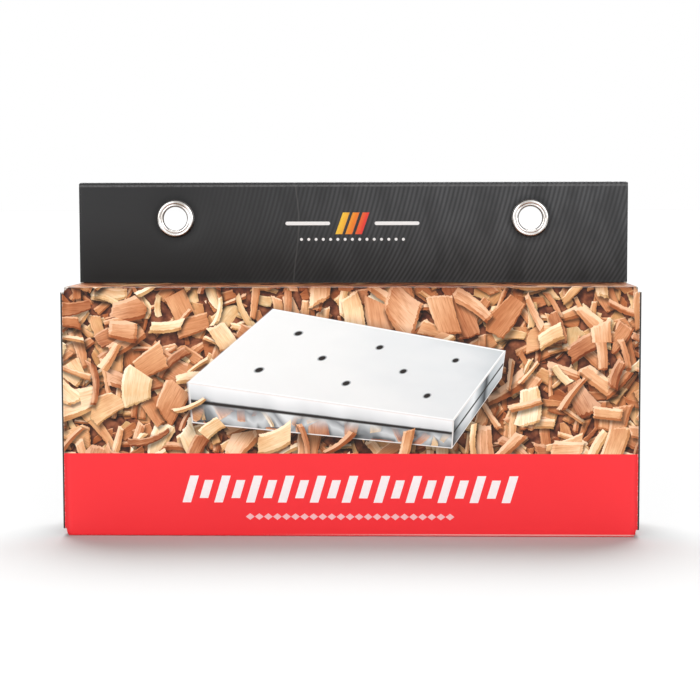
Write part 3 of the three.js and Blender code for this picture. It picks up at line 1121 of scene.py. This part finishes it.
def flap_material(group):
    """Bare board, but for a strip where the print runs on past the fold."""
    material, tree, shader = painted("flap_board", 0.7, specular=0.3)
    along, up, _ = parted(print_place(tree))
    fibre = grain(joined(along, up), 1.4, 5.0, 0.7)
    chips = wood_chips(group, along, up)
    ran_on = mixed(smooth(up, PRINT_TOP * 0.5 - 1.0, PRINT_TOP * 0.5 + 1.0), ink("ff373e"), chips)
    bare = mixed(smooth(fibre, 0.35, 0.7), ink("e6e2d9"), ink("d3cec3"))
    from_fold = abs(after(along, ran_on)) - (HALF_X - TOP_INSET) / MM
    color = mixed(inked(from_fold - BLEED), bare, ran_on)
    plug(shader.inputs["Base Color"], color)
    bumped(shader, fibre, 0.2, 0.1 * MM)
    return material


# Place of the groove in an eyelet's roll, across the flange from the bore
GROOVE_SHARE = 0.385


def nickel_plate():
    """Bright plate, with painted shade in the groove of the roll, where it meets the board and on the slope
    into the bore, and grey streaks painted as reflections.
    """
    material, tree, shader = painted("nickel", 0.13, metallic=1.0)
    place = object_place(tree)
    x, _, z = parted(place)
    away = hypotenuse(abs(x) - EYELET_X, z - EYELET_Z) * (1 / MM)
    width = (FLANGE_R - EYELET_BORE) / MM
    # Painted shade in the groove of the roll and on the skirt where it meets the board
    groove = smooth(abs(away - (EYELET_BORE / MM + GROOVE_SHARE * width)), 0.22, 0.05)
    skirt_shade = smooth(away, FLANGE_R / MM - 0.32, FLANGE_R / MM - 0.05)
    clouds = grain(place, 260.0, 3.0, 0.6, flat=False)
    # Painted reflections: slow noise that lays grey streaks over the plate
    reflection_streaks = grain(joined(x, 0.0, z), 150.0, 1.0, 0.4, flat=False)
    color = mixed(clouds, ink("f3f1ef"), ink("e2deda"))
    color = mixed(smooth(reflection_streaks, 0.46, 0.66) * 0.7, color, ink("a39c95"))
    groove = groove * smooth(reflection_streaks, 0.36, 0.56, 0.15, 0.55)
    color = mixed(most(groove, skirt_shade * 0.40), color, ink("4f4843"))
    # Painted shade on the slope into the bore
    bore = smooth(away, EYELET_BORE / MM + 0.48, EYELET_BORE / MM + 0.12)
    color = mixed(bore * 0.80, color, ink("6b645e"))
    plug(shader.inputs["Base Color"], color)
    plug(shader.inputs["Roughness"], smooth(clouds, 0.3, 0.7, 0.09, 0.20))
    bumped(shader, clouds, 0.08, 0.03 * MM)
    return material


# Eyelets and their washers

RING_SIDES = 112
ROLL_STEPS = 4
HAIR = 0.02 * MM

# Rolled front of an eyelet: shares of the flange's width from the bore outwards, and of its height
ROLL_SHARES = [(0.0, 0.30), (0.03, 0.60), (0.09, 0.80), (0.18, 0.89), (0.27, 0.90), (0.33, 0.85),
               (GROOVE_SHARE, 0.79), (0.44, 0.85), (0.53, 0.95), (0.63, 1.0), (0.73, 0.98), (0.82, 0.89),
               (0.90, 0.70), (0.96, 0.40), (0.99, 0.12)]

# Clinched rear of an eyelet: millimetres outwards from the barrel, and shares of the clinch's height
CLINCH = [(0.0, 0.0), (1.15, 0.0), (1.15, 0.55), (0.8, 0.95), (0.0, 0.98), (-0.4, 0.7)]

# Rounded rim of a washer: millimetres inwards from its edge, and down from its face
WASHER_RIM = [(0.9, 0.0), (0.4, 0.05), (0.12, 0.18), (0.0, 0.34)]


def curve_through(points):
    """A smooth line through points, closed."""
    out = []
    count = len(points)
    for i in range(count):
        a, b, c, d = (np.array(points[(i + k) % count]) for k in (-1, 0, 1, 2))
        for t in np.arange(ROLL_STEPS) / ROLL_STEPS:
            out.append(0.5 * (2 * b + (c - a) * t + (2 * a - 5 * b + 4 * c - d) * t ** 2
                              + (3 * b - a - 3 * c + d) * t ** 3))
    return out


def turned_ring(name, profile, x, material):
    """A ring turned about a line along Y. profile is (radius, y) pairs: up the bore, outwards, down."""
    angles = 2 * math.pi * np.arange(RING_SIDES) / RING_SIDES
    points = [(x + r * math.cos(t), y, EYELET_Z + r * math.sin(t)) for r, y in profile for t in angles]
    rings = len(profile)
    faces = []
    for i in range(rings):
        for k in range(RING_SIDES):
            a, b = i * RING_SIDES + k, i * RING_SIDES + (k + 1) % RING_SIDES
            c, d = ((corner + RING_SIDES) % (rings * RING_SIDES) for corner in (b, a))
            faces.append((a, b, c, d))
    obj = placed(name, smooth_mesh(name, points, faces))
    obj.data.materials.append(material)
    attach(obj, "header")
    return obj


def eyelet(label, side, nickel):
    """Rolled front, barrel and clinched rear. The front's curve is left open where it would close."""
    high = PLY_Y - eyelet_lo.y
    width = FLANGE_R - EYELET_BORE
    back = washer_hi.y
    clinch = eyelet_hi.y - back
    front = [(EYELET_BORE + a * width, PLY_Y - h * high) for a, h in ROLL_SHARES]
    seat = PLY_Y + DIMPLE_DEPTH - HAIR
    rim = [(FLANGE_R - HAIR, seat), (BARREL_R, seat)]
    foot = [(BARREL_R + out * MM, back + h * clinch) for out, h in CLINCH]
    profile = curve_through(front)[:-ROLL_STEPS] + [np.array(p) for p in rim + foot]
    obj = turned_ring(f"{label}_rolled_eyelet", profile[::-1], side * EYELET_X, nickel)
    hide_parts(f"{label}_eyelet")


def eyelet_washer(label, side, nickel):
    radius = (washer_hi.x - washer_lo.x) / 2
    low = washer_lo.y + HAIR - DIMPLE_BACK_SHARE * DIMPLE_DEPTH
    high = washer_hi.y
    rim = [(radius - inwards * MM, high - down * MM) for inwards, down in WASHER_RIM]
    profile = [(CARD_HOLE_R, low), (CARD_HOLE_R, high), *rim, (radius, low)]
    obj = turned_ring(f"{label}_pressed_washer", profile, side * EYELET_X, nickel)
    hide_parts(f"{label}_eyelet_washer")


# Smoker box

STEEL_BEVEL = 0.2 * MM
BEVEL_ANGLE = math.radians(50)


def dress_node(name, material, bevel=0.0):
    """Material and soft edges for a piece that stays as the frame has it."""
    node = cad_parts[name]
    if node.material_slots:
        node.material_slots[0].material = material
    else:
        node.data.materials.append(material)
    if bevel:
        round_off = node.modifiers.new("edge", "BEVEL")
        round_off.width = bevel
        round_off.segments = 2
        round_off.limit_method = "ANGLE"
        round_off.angle_limit = BEVEL_ANGLE


# Stage, light and camera

SKY = 0.30
FLOOR_GLOW = 0.07
FLOOR_TONE = 0.58
FLOOR_HALF = 40.0
FLOOR_DROP = 0.05 * MM
CAMERA_AT = (22.4 * MM, -763.7 * MM, 134.4 * MM)
CAMERA_TILT = math.radians(4.483)
CAMERA_YAW = math.radians(-1.719)
CAMERA_ROLL = math.radians(-0.121)
LENS = 94.54
SENSOR = 36


def seen_direct(tree):
    """1 for rays from the camera, from a mirror or through glass."""
    path = made(tree, "LightPath")
    return most(*(path.output(f"Is {kind} Ray") for kind in ("Camera", "Glossy", "Transmission")))


def white_world():
    """White where it is seen, and a soft grey sky as light."""
    world = bpy.data.worlds.new("studio")
    bpy.context.scene.world = world
    world.use_nodes = True
    tree = world.node_tree
    back = tree.nodes["Background"]
    back.inputs["Color"].default_value = (1, 1, 1, 1)
    plug(back.inputs["Strength"], seen_direct(tree) * (1.0 - SKY) + SKY)


def floor():
    mesh = bpy.data.meshes.new("floor")
    corners = [(x * FLOOR_HALF, y * FLOOR_HALF, -FLOOR_DROP) for x, y in ((-1, -1), (1, -1), (1, 1), (-1, 1))]
    mesh.from_pydata(corners, [], [(0, 1, 2, 3)])
    obj = placed("floor", mesh)
    material, tree, shader = painted("pale_floor", 0.9, specular=0.0)
    shader.inputs["Base Color"].default_value = (FLOOR_TONE, FLOOR_TONE, FLOOR_TONE, 1)
    shader.inputs["Emission Color"].default_value = (1, 1, 1, 1)
    plug(shader.inputs["Emission Strength"], seen_direct(tree) * FLOOR_GLOW)
    mesh.materials.append(material)


def soft_sun(name, azimuth, elevation, spread, level):
    """Soft light from far off. Azimuth 0 is in front and 90 on the right, in degrees. White board that
    faces the light takes this level from it."""
    data = bpy.data.lights.new(name, "SUN")
    data.angle = math.radians(spread)
    data.energy = level * math.pi
    lamp = placed(name, data)
    turn, rise = math.radians(azimuth), math.radians(elevation)
    toward = Vector((math.sin(turn) * math.cos(rise), -math.cos(turn) * math.cos(rise), math.sin(rise)))
    lamp.rotation_mode = "QUATERNION"
    lamp.rotation_quaternion = toward.to_track_quat("Z", "Y")


def camera():
    """The photograph's view: straight at the front, from a little above."""
    level_part = math.cos(CAMERA_TILT)
    forward = Vector((math.sin(CAMERA_YAW) * level_part, math.cos(CAMERA_YAW) * level_part,
                      -math.sin(CAMERA_TILT)))
    level = Vector((math.cos(CAMERA_YAW), -math.sin(CAMERA_YAW), 0))
    above = level.cross(forward)
    right = level * math.cos(CAMERA_ROLL) + above * math.sin(CAMERA_ROLL)
    up = above * math.cos(CAMERA_ROLL) - level * math.sin(CAMERA_ROLL)
    data = bpy.data.cameras.new("camera")
    data.lens = LENS
    data.sensor_width = SENSOR
    view = placed("camera", data)
    turned = Matrix((right, up, -forward)).transposed().to_4x4()
    view.matrix_world = Matrix.Translation(CAMERA_AT) @ turned
    bpy.context.scene.camera = view


camera()
white_world()
floor()
soft_sun("key", 181, 58, 46, 1.45)
soft_sun("left_fill", -35, 10, 50, 0.42)
soft_sun("right_fill", 35, 10, 50, 0.42)

chip_group = chip_layer_group()
printed = print_material(chip_group)
charcoal = header_material()
inside_board = plain_board("white_board", "e6e2d9", "d3cec3", 900.0)
cut_board = plain_board("cut_board", "c9c2b6", "a89f92", 2500.0)
nickel = nickel_plate()
flap_board = flap_material(chip_group)
stainless = rolled_sheet()

printed_boards = (printed, inside_board, cut_board)
carton_wrap(printed_boards)
header_card((charcoal, inside_board, cut_board))
for label, side in (("left", -1), ("right", 1)):
    end_closure(label, side, printed_boards)
    tuck_lip(label, side, printed_boards)
    for up in (-1, 1):
        dust_flap(label, side, up, (flap_board, inside_board, cut_board))
    eyelet(label, side, nickel)
    eyelet_washer(label, side, nickel)
dress_node("glue_flap", inside_board)
dress_node("smoker_tray", stainless, STEEL_BEVEL)
dress_node("smoker_lid", stainless, STEEL_BEVEL)
bpy.context.scene.view_settings.view_transform = "Standard"
